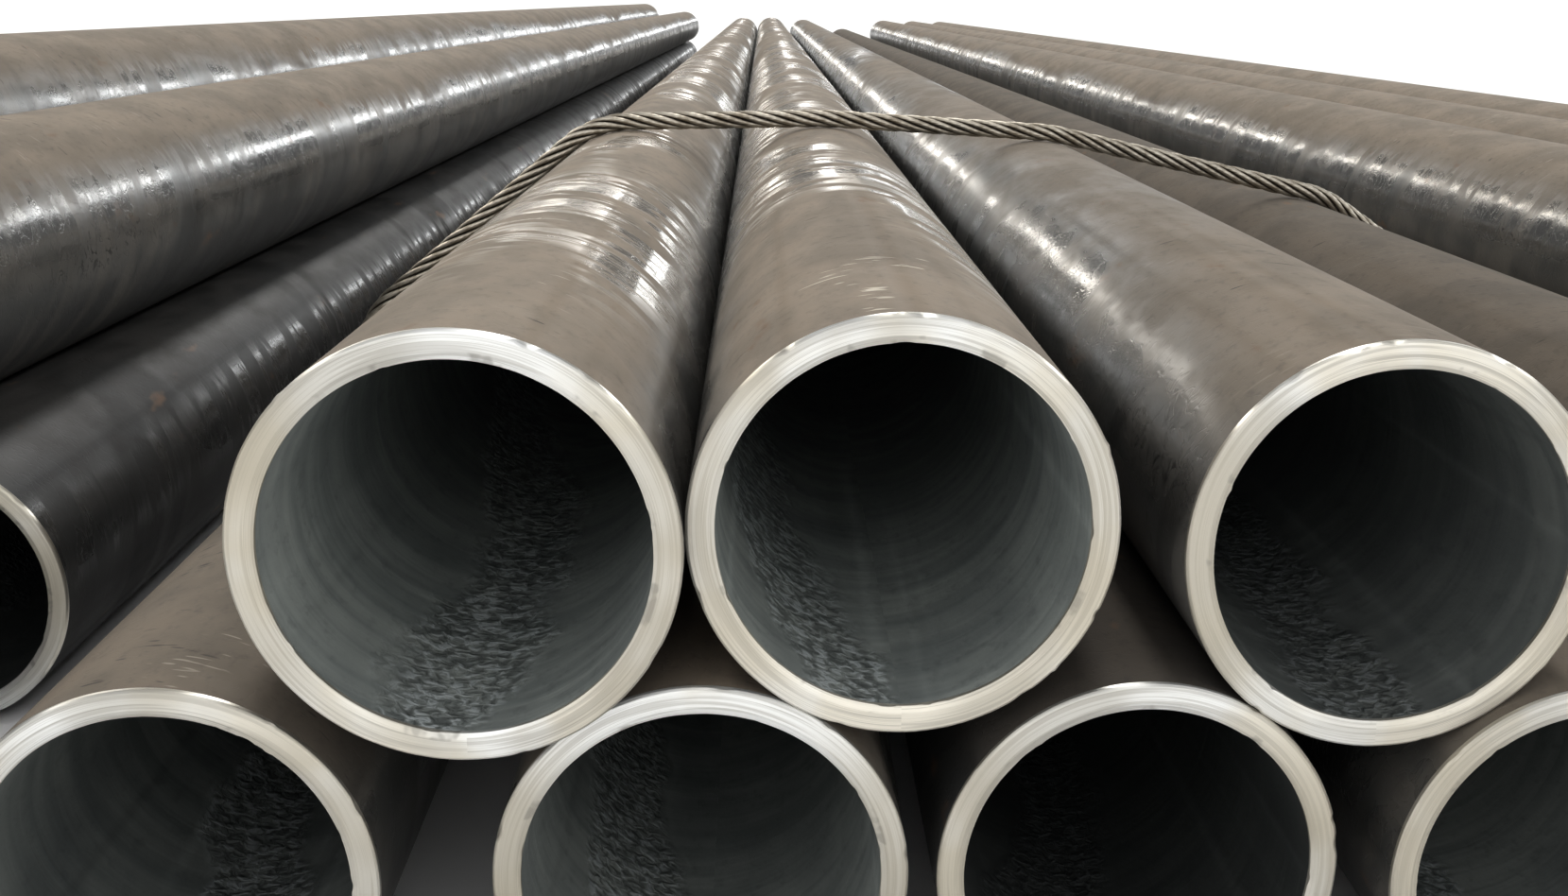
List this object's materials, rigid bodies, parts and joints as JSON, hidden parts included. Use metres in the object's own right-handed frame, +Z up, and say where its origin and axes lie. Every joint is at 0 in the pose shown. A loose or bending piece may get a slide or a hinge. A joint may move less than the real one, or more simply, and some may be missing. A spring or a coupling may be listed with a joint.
{
  "type": "bundle of steel pipes",
  "caption": "Two-layer stack of long thick-walled round steel pipes with machined open ends, held down by a wire rope laid over its middle.",
  "frame": {"origin": "middle of the stack's footprint, on the floor", "axes": "+Y along the pipes away from the roped end, +Z up, +X to the right seen from the front end"},
  "size_m": [2.658, 12.465, 0.4374],
  "materials": {
    "pipe_steel": "brown-grey mill scale with bright machined ends",
    "rope_wire": "bare twisted steel wire, greasy in the grooves",
    "sleeve_metal": "dull pressed metal"
  },
  "bodies": {
    "root": {"floor_pipe_01": "pipe_steel", "floor_pipe_02": "pipe_steel", "floor_pipe_03": "pipe_steel", "floor_pipe_04": "pipe_steel", "floor_pipe_05": "pipe_steel", "floor_pipe_06": "pipe_steel", "floor_pipe_07": "pipe_steel", "floor_pipe_08": "pipe_steel", "floor_pipe_09": "pipe_steel", "floor_pipe_10": "pipe_steel", "floor_pipe_11": "pipe_steel", "lashing_rope": "rope_wire", "rope_sleeve_left": "sleeve_metal", "rope_sleeve_right": "sleeve_metal", "upper_pipe_01": "pipe_steel", "upper_pipe_02": "pipe_steel", "upper_pipe_03": "pipe_steel", "upper_pipe_04": "pipe_steel", "upper_pipe_05": "pipe_steel", "upper_pipe_06": "pipe_steel", "upper_pipe_07": "pipe_steel", "upper_pipe_08": "pipe_steel", "upper_pipe_09": "pipe_steel", "upper_pipe_10": "pipe_steel"}
  },
  "joints": []
}
